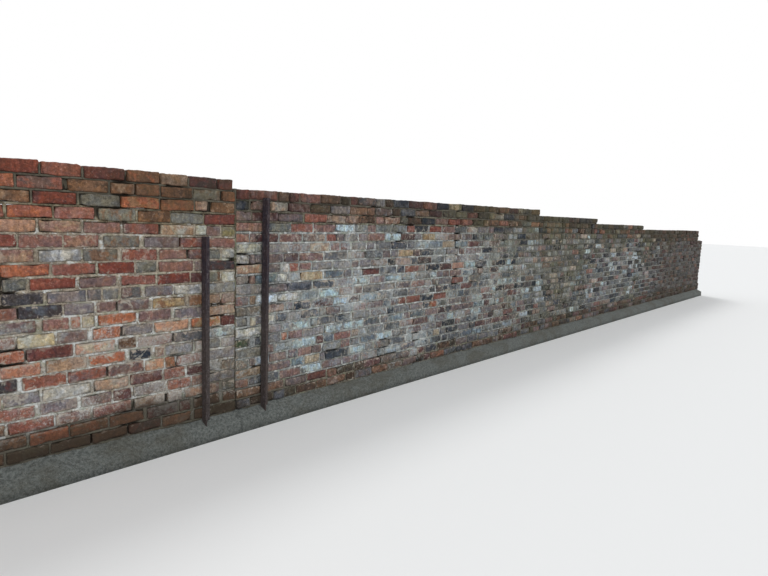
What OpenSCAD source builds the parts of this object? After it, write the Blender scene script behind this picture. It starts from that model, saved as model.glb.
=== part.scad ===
// Old brick garden wall, one brick thick, on a strip of rough concrete.
// A near stretch was rebuilt in thicker bricks and meets the far stretch at a straight joint.
// The far stretch steps down by a course at the end of each bay.
// X runs along the wall, the garden side faces -Y, and Z = 0 is the ground.

/* [Bricks] */
// Thickness of the wall, one brick long
wall_t = 225; // [200:5:240]
// Length of a brick with its joint, along the wall
brick_pitch = 232; // [215:1:245]
// Width of the straight joint between the two stretches
joint_w = 14; // [8:1:25]
// How far the joint's mortar lies behind the brick faces
joint_recess = 12; // [4:1:30]

/* [Near stretch] */
// Length of the near stretch
near_len = 4300; // [2500:50:6000]
// Height of one course with its bed joint
near_gauge = 82; // [74:0.5:90]
// Courses from the footing to the top
near_courses = 21; // [16:1:24]
// Rebuilt courses under the loose top course
near_upper = 3; // [2:1:5]
// How far the loose top course ends short of the straight joint
near_top_back = 30; // [10:1:60]
// How far the stretch has sunk at the straight joint
settlement = 42; // [1:1:60]

/* [Far stretch] */
// Length of the first bay, from the straight joint
bay_1_len = 4750; // [3000:50:6000]
// Length of the second bay
bay_2_len = 1970; // [1200:10:4000]
// Length of the third bay
bay_3_len = 2230; // [1200:10:4000]
// Length of the fourth bay, to the end of the wall
bay_4_len = 4350; // [3000:50:6000]
// Height of one course with its bed joint
far_gauge = 79.2; // [72:0.2:88]
// Courses from the footing to the top of the first bay
far_courses = 21; // [18:1:24]
// Weathered courses under the top course
far_upper = 2; // [1:1:3]
// Length at the far end that has lost its upper courses
broken_len = 370; // [250:10:450]

/* [Footing] */
// Height of the concrete strip where the wall stands on it
footing_h = 150; // [120:5:300]
// Width of the ledge on each side of the lowest bricks
ledge_w = 90; // [60:5:150]
// Height of the ledge at the bricks
ledge_top_h = 138; // [110:1:145]
// Height of the ledge at its outer edge
ledge_edge_h = 96; // [60:1:110]
// Courses that stand out above the footing
plinth_courses = 2; // [1:1:4]
// How far those courses stand out
plinth_step = 12; // [5:1:20]

/* [Iron posts] */
// Leg of the shorter post's angle iron
post_1_leg = 60; // [40:1:70]
// Thickness of the shorter post's legs
post_1_t = 5; // [4:0.5:8]
// Top of the shorter post above the ground
post_1_top = 1467; // [900:1:1600]
// Place of the shorter post's heel, from the straight joint
post_1_x = -288; // [-400:1:-240]
// Leg of the taller post's angle iron
post_2_leg = 63; // [40:1:70]
// Thickness of the taller post's legs
post_2_t = 6; // [4:0.5:8]
// Top of the taller post above the ground
post_2_top = 1757; // [900:1:1780]
// Place of the taller post's heel, from the straight joint
post_2_x = 224; // [200:1:400]
// Depth of concrete under a post's foot
post_seat = 20; // [10:1:60]
// Radius of the holes in the posts' outer legs
hole_r = 5.5; // [4:0.5:7]
// Distance from a post's top to its upper hole
hole_drop = 395; // [150:5:400]
// Distance between a post's two holes
hole_pitch = 520; // [300:5:600]

/* [Hidden] */

RED_BRICK = "#a4644d";
BROWN_BRICK = "#7d5844";
PURPLE_BRICK = "#8f7a72";
MOSSY_BRICK = "#6b6152";
SOILED_BRICK = "#5f4a3b";
PALE_MORTAR = "#b5ac98";
CONCRETE = "#8d8a80";
RUSTY_IRON = "#43363a";

// Ends of the bays, from the straight joint
bay_lens = [bay_1_len, bay_2_len, bay_3_len, bay_4_len];
function sum_to(list, n) = n <= 0 ? 0 : list[n - 1] + sum_to(list, n - 1);
function bay_start(b) = sum_to(bay_lens, b);
far_len = bay_start(len(bay_lens));
wall_mid_x = (far_len - near_len) / 2;

quoin_w = brick_pitch;
tooth = brick_pitch / 4;
joint_half = joint_w / 2;
plinth_t = wall_t + 2 * plinth_step;
footing_t = plinth_t + 2 * ledge_w;
post_back_y = plinth_t / 2;

// The near stretch's beds sink towards the straight joint along a parabola
SETTLE_STEPS = 6;
settle_table = [
    for (i = [SETTLE_STEPS:-1:0])
        let (share = i / SETTLE_STEPS)
        [-near_len * share, settlement * (1 - pow(1 - share, 2))]
];
function bed_rise(x) = x >= 0 ? 0 : lookup(x, settle_table);
function bed_z(x, course, gauge) = footing_h + course * gauge + bed_rise(x);

// A toothed end leaves out a quarter of a brick in every other course
function tooth_x(x, course, way) = x + (course % 2 == 0 ? 0 : way * tooth);

// One end of a piece of walling, as points from its lowest bed to its highest
function end_points(x, from, to, gauge, way) =
    way == 0
        ? [[x, bed_z(x, from, gauge)], [x, bed_z(x, to, gauge)]]
        : [
            for (course = [from:to - 1], upper = [0, 1])
                let (px = tooth_x(x, course, way))
                [px, bed_z(px, course + upper, gauge)]
        ];

// Points of a bed joint between two ends, where the settled bed changes its slope
function bed_points(x0, x1, course, gauge) = [
    for (row = settle_table)
        if (row[0] > x0 && row[0] < x1)
            [row[0], bed_z(row[0], course, gauge)]
];

function backwards(list) = [for (i = [len(list) - 1:-1:0]) list[i]];

function reach_x(x, course, way) = way == 0 ? x : tooth_x(x, course, way);

// Side view of a piece of walling between two ends and two beds
function walling_outline(x0, x1, from, to, gauge, way0, way1) = concat(
    end_points(x0, from, to, gauge, way0),
    bed_points(reach_x(x0, to - 1, way0), reach_x(x1, to - 1, way1), to, gauge),
    backwards(end_points(x1, from, to, gauge, way1)),
    backwards(bed_points(reach_x(x0, from, way0), reach_x(x1, from, way1), from, gauge))
);

// Places a side view, drawn from the straight joint, in the wall's own frame
module walling(points, depth = wall_t) {
    translate([-wall_mid_x, 0, 0])
        rotate([90, 0, 0])
            linear_extrude(height = depth, center = true)
                polygon(points);
}

// Concrete strip: a level haunch on each side and a seat that follows the settled bed
module footing(x0, x1) {
    seat = concat(
        [[x0, 0], [x0, bed_z(x0, 0, 0)]],
        bed_points(x0, x1, 0, 0),
        [[x1, bed_z(x1, 0, 0)], [x1, 0]]
    );
    haunch = [
        [-footing_t / 2, 0], [-footing_t / 2, ledge_edge_h], [-plinth_t / 2, ledge_top_h],
        [plinth_t / 2, ledge_top_h], [footing_t / 2, ledge_edge_h], [footing_t / 2, 0]
    ];
    difference() {
        union() {
            walling(seat, plinth_t);
            translate([x0 - wall_mid_x, 0, 0])
                rotate([90, 0, 90])
                    linear_extrude(height = x1 - x0)
                        polygon(haunch);
        }
        angle_iron(post_1_x, post_1_leg, post_1_t, post_1_top);
        angle_iron(post_2_x, post_2_leg, post_2_t, post_2_top);
    }
}

// Angle iron upright: one leg lies along the wall and the other stands out from its heel
module angle_iron(heel_x, leg, thick, top) {
    translate([heel_x - wall_mid_x, -post_back_y, post_seat])
        linear_extrude(height = top - post_seat)
            polygon([[0, 0], [leg, 0], [leg, -thick], [thick, -thick], [thick, -leg], [0, -leg]]);
}

module post(heel_x, leg, thick, top) {
    difference() {
        angle_iron(heel_x, leg, thick, top);
        for (drop = [hole_drop, hole_drop + hole_pitch])
            translate([heel_x - wall_mid_x - 1, -post_back_y - leg / 2, top - drop])
                rotate([0, 90, 0])
                    cylinder(r = hole_r, h = thick + 2, $fn = 32);
    }
}

// Near stretch
near_body_top = near_courses - 1 - near_upper;
near_quoin_x = -joint_half - quoin_w;

module near_footing() {
    color(CONCRETE) footing(-near_len, 0);
}

module near_plinth() {
    color(SOILED_BRICK)
        walling(walling_outline(-near_len, -joint_half, 0, plinth_courses, near_gauge, 0, 0), plinth_t);
}

module near_end_quoin() {
    color(RED_BRICK)
        walling(walling_outline(
            -near_len, -near_len + quoin_w, plinth_courses, near_body_top, near_gauge, 0, -1));
}

module near_wall_body() {
    color(RED_BRICK)
        walling(walling_outline(
            -near_len + quoin_w, near_quoin_x, plinth_courses, near_body_top, near_gauge, -1, 0));
}

module near_joint_quoin() {
    color(PURPLE_BRICK)
        walling(walling_outline(
            near_quoin_x, -joint_half, plinth_courses, near_body_top, near_gauge, 0, 0));
}

module near_upper_courses() {
    color(BROWN_BRICK)
        walling(walling_outline(
            -near_len, -joint_half, near_body_top, near_courses - 1, near_gauge, 0, 0));
}

module near_top_course() {
    color(BROWN_BRICK)
        walling(walling_outline(
            -near_len, -near_top_back, near_courses - 1, near_courses, near_gauge, 0, 0));
}

module straight_joint_mortar() {
    joint_top = footing_h + far_courses * far_gauge;
    color(PALE_MORTAR)
        walling(
            [[-joint_half, footing_h], [-joint_half, joint_top], [joint_half, joint_top], [joint_half, footing_h]],
            wall_t - 2 * joint_recess);
}

// Far stretch: each bay has one course fewer than the bay before it
function bay_courses(b) = far_courses - b;
function bay_body_top(b) = bay_courses(b) - 1 - far_upper;
end_quoin_x = far_len - quoin_w;
joint_quoin_x = joint_half + quoin_w - tooth;

module far_footing() {
    color(CONCRETE) footing(0, far_len);
}

module far_plinth() {
    color(SOILED_BRICK)
        walling(walling_outline(joint_half, far_len, 0, plinth_courses, far_gauge, 0, 0), plinth_t);
}

module far_joint_quoin() {
    color(PURPLE_BRICK)
        walling(walling_outline(
            joint_half, joint_quoin_x, plinth_courses, bay_body_top(0), far_gauge, 0, 1));
}

module bay_body(b) {
    last = b == len(bay_lens) - 1;
    x0 = b == 0 ? joint_quoin_x : bay_start(b);
    x1 = last ? end_quoin_x : bay_start(b + 1);
    shared_top = bay_body_top(last ? b : b + 1);
    color(PURPLE_BRICK) {
        walling(walling_outline(x0, x1, plinth_courses, shared_top, far_gauge, b == 0 ? 1 : -1, -1));
        if (!last)
            walling(walling_outline(x0, x1, shared_top, bay_body_top(b), far_gauge, b == 0 ? 1 : 0, 0));
    }
}

module bay_1_body() { bay_body(0); }
module bay_2_body() { bay_body(1); }
module bay_3_body() { bay_body(2); }
module bay_4_body() { bay_body(3); }

module far_end_quoin() {
    color(PURPLE_BRICK)
        walling(walling_outline(
            end_quoin_x, far_len, plinth_courses, bay_body_top(3), far_gauge, -1, 0));
}

function bay_top_start(b) = b == 0 ? joint_half : bay_start(b);
function bay_top_end(b) = b == len(bay_lens) - 1 ? far_len - broken_len : bay_start(b + 1);

module bay_upper_courses(b) {
    color(MOSSY_BRICK)
        walling(walling_outline(
            bay_top_start(b), bay_top_end(b), bay_body_top(b), bay_courses(b) - 1, far_gauge, 0, 0));
}

module bay_1_upper_courses() { bay_upper_courses(0); }
module bay_2_upper_courses() { bay_upper_courses(1); }
module bay_3_upper_courses() { bay_upper_courses(2); }
module bay_4_upper_courses() { bay_upper_courses(3); }

module bay_top_course(b) {
    color(BROWN_BRICK)
        walling(walling_outline(
            bay_top_start(b), bay_top_end(b), bay_courses(b) - 1, bay_courses(b), far_gauge, 0, 0));
}

module bay_1_top_course() { bay_top_course(0); }
module bay_2_top_course() { bay_top_course(1); }
module bay_3_top_course() { bay_top_course(2); }
module bay_4_top_course() { bay_top_course(3); }

module short_post() {
    color(RUSTY_IRON) post(post_1_x, post_1_leg, post_1_t, post_1_top);
}

module tall_post() {
    color(RUSTY_IRON) post(post_2_x, post_2_leg, post_2_t, post_2_top);
}

near_footing();
near_plinth();
near_end_quoin();
near_wall_body();
near_joint_quoin();
near_upper_courses();
near_top_course();
straight_joint_mortar();
far_footing();
far_plinth();
far_joint_quoin();
bay_1_body();
bay_2_body();
bay_3_body();
bay_4_body();
far_end_quoin();
bay_1_upper_courses();
bay_2_upper_courses();
bay_3_upper_courses();
bay_4_upper_courses();
bay_1_top_course();
bay_2_top_course();
bay_3_top_course();
bay_4_top_course();
short_post();
tall_post();
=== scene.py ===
import math
from functools import lru_cache

import bpy
import numpy as np
from mathutils import Matrix, Vector


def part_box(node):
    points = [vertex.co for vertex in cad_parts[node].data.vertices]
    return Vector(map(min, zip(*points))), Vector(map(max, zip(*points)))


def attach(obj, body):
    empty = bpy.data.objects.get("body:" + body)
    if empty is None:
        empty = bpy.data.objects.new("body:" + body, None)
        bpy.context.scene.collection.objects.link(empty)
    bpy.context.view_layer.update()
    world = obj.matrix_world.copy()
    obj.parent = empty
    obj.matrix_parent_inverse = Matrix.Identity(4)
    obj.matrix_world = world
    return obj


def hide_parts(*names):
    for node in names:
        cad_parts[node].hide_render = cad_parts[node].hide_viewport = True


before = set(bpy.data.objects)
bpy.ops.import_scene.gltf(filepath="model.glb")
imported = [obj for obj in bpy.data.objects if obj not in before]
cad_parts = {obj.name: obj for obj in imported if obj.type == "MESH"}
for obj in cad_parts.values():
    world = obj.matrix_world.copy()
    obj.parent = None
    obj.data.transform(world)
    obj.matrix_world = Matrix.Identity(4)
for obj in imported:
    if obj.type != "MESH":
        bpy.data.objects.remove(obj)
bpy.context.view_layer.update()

# Camera, as the photograph's
PHOTO_W = 768
FOCAL_PX = 577
SENSOR_MM = 36.0
CAMERA_YAW = math.radians(41.61)
CAMERA_PITCH = math.radians(7.09)
CAMERA_ROLL = math.radians(2.09)
CAMERA_FROM_JOINT = (-2.440, -3.634, 1.503)

# The wall's driving sizes, as in the CAD
WALL_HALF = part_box("near_wall_body")[1][1]
PLINTH_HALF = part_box("near_plinth")[1][1]
JOINT_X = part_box("near_footing")[1][0]
NEAR_LEN = JOINT_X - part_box("near_footing")[0][0]
FAR_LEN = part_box("far_footing")[1][0] - JOINT_X
BAY_ENDS = [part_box(f"bay_{bay}_top_course")[1][0] - JOINT_X for bay in (1, 2, 3)] + [FAR_LEN]
BROKEN_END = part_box("bay_4_top_course")[1][0] - JOINT_X
NEAR_TOP_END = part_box("near_top_course")[1][0] - JOINT_X
FOOTING_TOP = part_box("far_footing")[1][2]
NEAR_GAUGE = 0.082
FAR_GAUGE = 0.0792
COURSES = 21
PLINTH_COURSES = 2
NEAR_UPPER = 3
FAR_UPPER = 2
PITCH = 0.232
TOOTH = PITCH / 4
JOINT_HALF = 0.007
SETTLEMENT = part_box("near_footing")[1][2] - FOOTING_TOP
LEAF_GAP = 0.010
OPEN_DEPTH = 0.016
TOP_JOINT_DROP = 0.020


def srgb(red, green, blue):
    """A colour given as 0 to 255, as linear values for a shader."""
    return tuple(
        c / 12.92 if c <= 0.04045 else ((c + 0.055) / 1.055) ** 2.4
        for c in (red / 255, green / 255, blue / 255)
    )


# Brick tones by name: the colour, and the second tones that blotch it
TONES = {
    "deep_red": ((124, 62, 48), "maroon rose brick_red"),
    "maroon": ((98, 58, 54), "coal plum deep_red"),
    "brick_red": ((138, 81, 66), "orange_red rose plum"),
    "orange_red": ((170, 99, 67), "ochre brick_red salmon"),
    "salmon": ((182, 134, 108), "orange_red cream tan"),
    "rose": ((140, 100, 88), "plum tan brick_red"),
    "plum": ((116, 92, 88), "rose slate stone"),
    "tan": ((160, 130, 106), "rose cream brown"),
    "ochre": ((166, 140, 98), "tan straw brown"),
    "straw": ((182, 164, 126), "ochre cream"),
    "brown": ((126, 88, 60), "orange_red dark_brown tan"),
    "dark_brown": ((86, 62, 46), "brown umber"),
    "umber": ((66, 55, 42), "dark_brown moss_grey"),
    "olive": ((126, 118, 80), "lichen ochre"),
    "lichen": ((114, 111, 100), "slate stone brown"),
    "mauve": ((126, 116, 115), "rose stone slate"),
    "stone": ((137, 135, 131), "mauve chalk lichen"),
    "slate": ((87, 90, 95), "mauve blue_black stone"),
    "blue_grey": ((96, 112, 122), "slate lime"),
    "blue_black": ((40, 52, 66), "slate coal"),
    "coal": ((68, 62, 63), "maroon slate"),
    "cream": ((178, 175, 158), "chalk stone"),
    "chalk": ((192, 190, 184), "stone cream"),
    "lime": ((166, 186, 190), "mauve stone lichen"),
    "moss_grey": ((96, 96, 78), "lichen umber olive"),
    "moss": ((62, 80, 56), "moss_grey umber"),
}

# How often each tone comes in each part of the wall
PALETTES = {
    "near_low": dict(
        orange_red=14, salmon=15, tan=12, rose=14, brick_red=13, plum=9, brown=6, cream=5, deep_red=5,
        maroon=4, mauve=3,
    ),
    "near_body": dict(
        deep_red=12, maroon=8, brick_red=15, orange_red=10, salmon=7, rose=15, plum=14, tan=8, ochre=1,
        lichen=4, coal=1, cream=3, brown=6, mauve=4,
    ),
    "near_upper": dict(
        brown=30, dark_brown=14, brick_red=11, orange_red=10, lichen=9, tan=6, rose=6, maroon=6, olive=4,
    ),
    "near_plinth": dict(umber=22, dark_brown=26, brown=24, maroon=12, orange_red=8, moss_grey=8),
    "far_plinth": dict(umber=18, dark_brown=18, slate=16, maroon=14, plum=18, brown=10, lichen=6),
    "quoin": dict(lichen=18, mauve=22, plum=13, brown=5, rose=9, cream=5, maroon=3, tan=17, stone=8),
    "bay_first": dict(
        mauve=21, slate=12, stone=8, plum=17, blue_grey=7, lime=8, rose=13, brick_red=5, orange_red=1,
        ochre=2, tan=8, maroon=5,
    ),
    "bay_second": dict(
        mauve=15, slate=17, stone=9, plum=13, blue_grey=10, lime=8, brick_red=4, orange_red=1, ochre=2,
        blue_black=7, lichen=8, maroon=6, rose=5, tan=4,
    ),
    "bay_green": dict(
        moss_grey=10, lichen=14, slate=17, stone=12, tan=9, blue_black=12, brick_red=4, plum=7, lime=10,
        blue_grey=5,
    ),
    "bay_last": dict(slate=22, mauve=10, plum=22, brown=14, lichen=6, maroon=16, coal=8),
    "far_upper_red": dict(
        maroon=18, rose=12, plum=12, brown=14, brick_red=11, dark_brown=14, mauve=6, umber=6,
        blue_black=4, tan=4,
    ),
    "far_upper_moss": dict(
        brown=16, dark_brown=13, moss_grey=11, maroon=12, slate=10, olive=6, umber=8, brick_red=5,
        blue_black=9, tan=6, lichen=5,
    ),
    "far_upper_green": dict(
        brown=16, moss_grey=10, lichen=12, slate=13, umber=10, maroon=9, blue_black=10, tan=10,
        brick_red=7, orange_red=3,
    ),
}

# How each part's tones have worn: how far to grey, that grey's tint, the lightness and how much it varies
WEAR = {
    "near_low": (0.30, (1.02, 1.02, 0.95), 1.05, 0.15),
    "near_body": (0.22, (1.02, 1.01, 0.96), 0.99, 0.15),
    "near_upper": (0.16, (1.06, 0.99, 0.74), 1.19, 0.13),
    "near_plinth": (0.13, (1.02, 1.00, 0.92), 1.25, 0.25),
    "far_plinth": (0.35, (1.00, 1.00, 1.00), 1.10, 0.25),
    "quoin": (0.32, (0.99, 1.03, 0.91), 1.01, 0.22),
    "bay": (0.48, (0.94, 1.03, 1.07), 1.07, 0.27),
    "far_upper": (0.36, (1.02, 1.00, 0.94), 0.97, 0.28),
}
# Tones that lie on a brick only in patches
PATCHY = ("lime",)
# Tones of bricks that stay bare of lime where they stand out
BARE = ("blue_black", "coal", "maroon")

# Upright joints read off the wall near the straight joint, by course, in millimetres from it
NEAR_BOND = {
    20: (-1282, -1052, -797, -575, -370, -147),
    19: (-1405, -1152, -900, -741, -575, -345, -118),
    18: (-1329, -1082, -834, -580, -330, -215),
    17: (-1460, -1220, -980, -732, -505, -257),
    16: (-1306, -1064, -828, -582, -328),
    15: (-1407, -1174, -957, -703, -443),
    14: (-1316, -1070, -845, -595, -380),
    13: (-1500, -1245, -985, -750, -600, -336),
    12: (-1500, -1364, -1100, -857, -605, -363),
    11: (-1500, -1278, -1050, -960, -850, -700, -490),
    10: (-1422, -1184, -1000, -868, -648, -390),
    9: (-1540, -1315, -1150, -1085, -997, -738, -497),
    8: (-1435, -1230, -1035, -845, -632, -368),
    7: (-1390, -1130, -877, -745, -495),
    6: (-1530, -1300, -1055, -808, -640, -556, -335),
    5: (-1425, -1175, -940, -698, -558, -475),
    4: (-1515, -1318, -1030, -800, -570, -400),
    3: (-1560, -1340, -1110, -910, -780, -545, -360),
    2: (-1500, -1250, -1040, -780, -550, -420),
}
FAR_BOND = {
    20: (120, 385, 500, 605, 830, 1060, 1180),
    19: (125, 300, 485, 715, 940, 1170, 1400),
    18: (140, 395, 650, 905, 1125, 1290, 1520),
    17: (245, 290, 515, 750, 1008, 1238, 1400),
    16: (125, 190, 397, 640, 895, 1025, 1115, 1180, 1290),
    15: (235, 290, 480, 720, 945, 1068, 1200, 1400),
    14: (122, 240, 440, 600, 875, 1160, 1390),
    13: (235, 290, 430, 502, 605, 740, 985, 1205, 1310, 1465),
    12: (122, 190, 380, 490, 625, 880, 1115, 1225, 1367),
    11: (235, 290, 490, 755, 1015, 1242, 1450),
    10: (122, 190, 395, 605, 830, 1062, 1240, 1368),
    9: (235, 290, 465, 555, 745, 1000, 1180, 1325),
    8: (122, 190, 298, 368, 490, 640, 830, 910, 1095, 1240, 1420),
    7: (195, 300, 430, 520, 730, 815, 1025, 1225, 1475),
    6: (170, 239, 430, 500, 655, 895, 1120, 1390),
    5: (120, 235, 365, 540, 805, 895, 1015, 1230, 1330, 1445),
    4: (205, 315, 500, 605, 765, 880, 1100, 1220),
    3: (120, 190, 300, 535, 680, 855, 915, 1205, 1425),
}

# Bricks that stand out by their tone: course, millimetres from the straight joint
LANDMARKS = {
    "deep_red": ((15, -1480), (20, -1400), (12, -1230), (18, -1200), (13, -860), (12, -480), (17, 2550)),
    "brick_red": (
        (2, -1370), (17, -1340), (5, -1300), (20, -1170), (13, -1100), (5, -1060), (12, -730), (14, -710),
        (16, -700), (15, -340), (13, 550), (17, 630), (18, 780), (16, 960), (8, 1920), (17, 2090),
        (8, 2120), (12, 2120), (8, 2600), (18, 2700), (10, 2820),
    ),
    "orange_red": (
        (7, -1480), (13, -1370), (1, -1270), (8, -950), (6, -930), (9, -860), (18, -700), (8, -300),
        (8, -180), (6, 460), (7, 2400),
    ),
    "maroon": (
        (7, -1260), (4, -685), (20, -260), (17, -120), (8, -60), (20, 60), (16, 300), (12, 1450),
        (12, 2610), (15, 3120),
    ),
    "salmon": ((16, -1420), (7, -1000), (5, -620), (8, -500), (12, 2780)),
    "lichen": (
        (14, -950), (18, -950), (17, -850), (15, -830), (13, -670), (17, -380), (6, -180), (12, -180),
        (14, -180), (17, 400),
    ),
    "coal": ((5, -1500), (11, -1390), (10, -1300), (13, -120), (13, 2255)),
    "blue_black": (
        (6, -750), (20, 1940), (12, 2370), (8, 2380), (20, 2650), (14, 3400), (17, 3760), (12, 3780),
        (19, 4040), (12, 4150), (16, 4340),
    ),
    "slate": (
        (7, -400), (9, 650), (8, 720), (11, 880), (7, 900), (16, 1210), (10, 1480), (14, 1750),
        (15, 1800), (12, 1880), (14, 2200),
    ),
    "straw": ((8, -1330), (9, -1040)),
    "olive": ((16, -60),),
    "ochre": ((10, -510), (12, 750), (14, 1980), (16, 2330)),
    "cream": ((4, -1180), (16, -290), (12, -60), (14, -60), (7, 100), (15, 120), (8, 150)),
    "lime": (
        (7, -120), (7, 620), (5, 670), (10, 940), (6, 1010), (9, 1090), (17, 1120), (6, 1250), (3, 1310),
        (11, 1350), (16, 1680), (4, 1700), (11, 1740), (11, 1970), (15, 2310), (12, 3110), (7, 3350),
        (8, 3650), (6, 3800), (11, 3830), (12, 3990),
    ),
    "blue_grey": ((3, 600), (12, 1000)),
    "mauve": (
        (4, -1420), (3, -1210), (11, -1160), (10, -1090), (11, -1005), (8, -700), (11, -600), (9, -340),
        (10, 60), (12, 60), (14, 150), (15, 380),
    ),
    "rose": (
        (14, -1420), (15, -1290), (9, -1230), (17, -1100), (15, -1060), (16, -950), (14, -490),
        (13, -450), (15, -120), (16, 60), (17, 120),
    ),
    "plum": (
        (9, -1400), (8, -1130), (12, -980), (10, -934), (11, -770), (10, -760), (9, -620), (16, -180),
        (14, 740), (17, 880),
    ),
    "tan": ((6, -1180), (16, -1180), (4, -920), (16, -460), (9, -120), (13, 120), (15, 830)),
    "brown": ((7, -810), (5, -520), (18, -450), (10, -320)),
    "stone": (
        (14, -1190), (11, -905), (6, -440), (11, -350), (11, -120), (14, 60), (8, 100), (11, 200),
        (13, 860), (15, 1290), (10, 1680),
    ),
    "chalk": ((8, 330), (12, 430), (13, 465), (10, 500)),
    "moss": ((6, 60),),
}

# Where lime lies thickest: metres from the straight joint, course and radius in metres
LIME_PATCHES = (
    (-1.31, 3.1, 0.09), (-1.07, 3.5, 0.10), (-0.96, 8.8, 0.12), (-0.20, 8.2, 0.10), (0.21, 8.8, 0.12),
    (1.23, 9.9, 0.15), (1.85, 9.8, 0.15), (2.20, 2.4, 0.22), (3.10, 12.4, 0.18),
)

NOISE_SHIFT = np.array([17.3, 41.7, 73.1])
GREY_WEIGHTS = np.array([0.3, 0.59, 0.11])
TINY = 1e-7
# Share of a brick's turn that each of its axes takes
TURN_SHARES = np.array([0.6, 0.8, 1.0])

# Section of a mortar strip: each point's place across it, in half widths, and its depth behind the front
JOINT_SECTION = ((1, 0.006), (0, 0.0), (-1, 0.006), (0, 0.045))
FILL_SECTION = ((1, 0.003), (0, 0.0), (-1, 0.003), (0, 0.09))
FILL_RINGS = 48
FILL_LAP = 0.003
# Bed mortar reaches past the joint's half height, and upright mortar past its ends
BED_REACH = 0.6
UPRIGHT_LAP = 0.004
UPRIGHT_RINGS = 5
# Lengths of a bed's pieces: near the camera, on the rest of the garden face and on the back
FINE_STEP = 0.022
FRONT_STEP = 0.045
BACK_STEP = 0.09
FINE_END = 1.6

# The mortar in the heart of the wall: how far it laps the beds, and lies in from the ends, top and faces
CORE_LAP = 0.006
CORE_DROP = 0.012
CORE_INSET = 0.02
CORE_DEPTH = 0.03
# Bricks this close to an end of the wall show their end
END_MARGIN = 0.01
# Shortest brick that is cut beside an end
LEAST_BRICK = 0.045
NEAR_HEADERS = 0.12
FAR_HEADERS = 0.42

# The concrete strip: its ledge, the slope beside the bricks, the length of its pieces and its wear
LEDGE_TOP = 0.138
LEDGE_EDGE = 0.096
SEAT_SLOPE = 0.004
STRIP_STEP = 0.035
STRIP_ROUGHNESS = ((0.6, 7.0, 41), (0.5, 19.0, 42), (0.35, 45.0, 43))


def lattice_value(cells, seed):
    """A fixed number from -1 to 1 for each whole-number cell."""
    key = cells[:, 0] * 73856093 ^ cells[:, 1] * 19349663 ^ cells[:, 2] * 83492791 ^ (seed + 11) * 2654435
    key = (key ^ key >> 13) * 1274126177 & 0x7FFFFFFF
    key = (key ^ key >> 15) * 69069 & 0x7FFFFFFF
    return key / 0x3FFFFFFF - 1.0


def smooth_noise(points, scale, seed):
    """Smooth noise from -1 to 1, the same on every run."""
    cells = points * scale + NOISE_SHIFT * (seed % 7 + 1)
    base = np.floor(cells)
    part = cells - base
    part = part * part * (3 - 2 * part)
    base = base.astype(np.int64)
    total = np.zeros(len(points))
    for corner in range(8):
        step = np.array([corner & 1, corner >> 1 & 1, corner >> 2 & 1])
        weight = np.prod(np.where(step == 1, part, 1 - part), axis=1)
        total += weight * lattice_value(base + step, seed)
    return total


def ramp(values, low, high):
    """0 below low, 1 above high and smooth between."""
    t = np.clip((values - low) / (high - low), 0, 1)
    return t * t * (3 - 2 * t)


def bed_rise(s):
    """How much higher a settled bed lies at s metres from the straight joint than at the joint."""
    share = np.clip(-np.asarray(s, dtype=float) / NEAR_LEN, 0, 1)
    return SETTLEMENT * (1 - (1 - share) ** 2)


def bed_z(s, course, gauge):
    """Height of the middle of the bed under a course, with the courses' gentle unevenness."""
    s, course = np.broadcast_arrays(np.asarray(s, dtype=float), np.asarray(course, dtype=float))
    level = FOOTING_TOP + course * gauge + bed_rise(s)
    along = np.stack([s.ravel(), course.ravel() * 0.35, np.full(s.size, 0.5)], axis=1)
    drift = smooth_noise(along, 0.9, 3).reshape(s.shape)
    inner = np.clip(np.minimum(course, COURSES - course) / 2, 0, 1)
    dip = np.where(s > 0, np.exp(-s / 0.45) * np.exp(-(((course - 6) / 4.5) ** 2)), 0)
    return level + inner * (0.004 * drift - 0.014 * dip)


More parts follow.
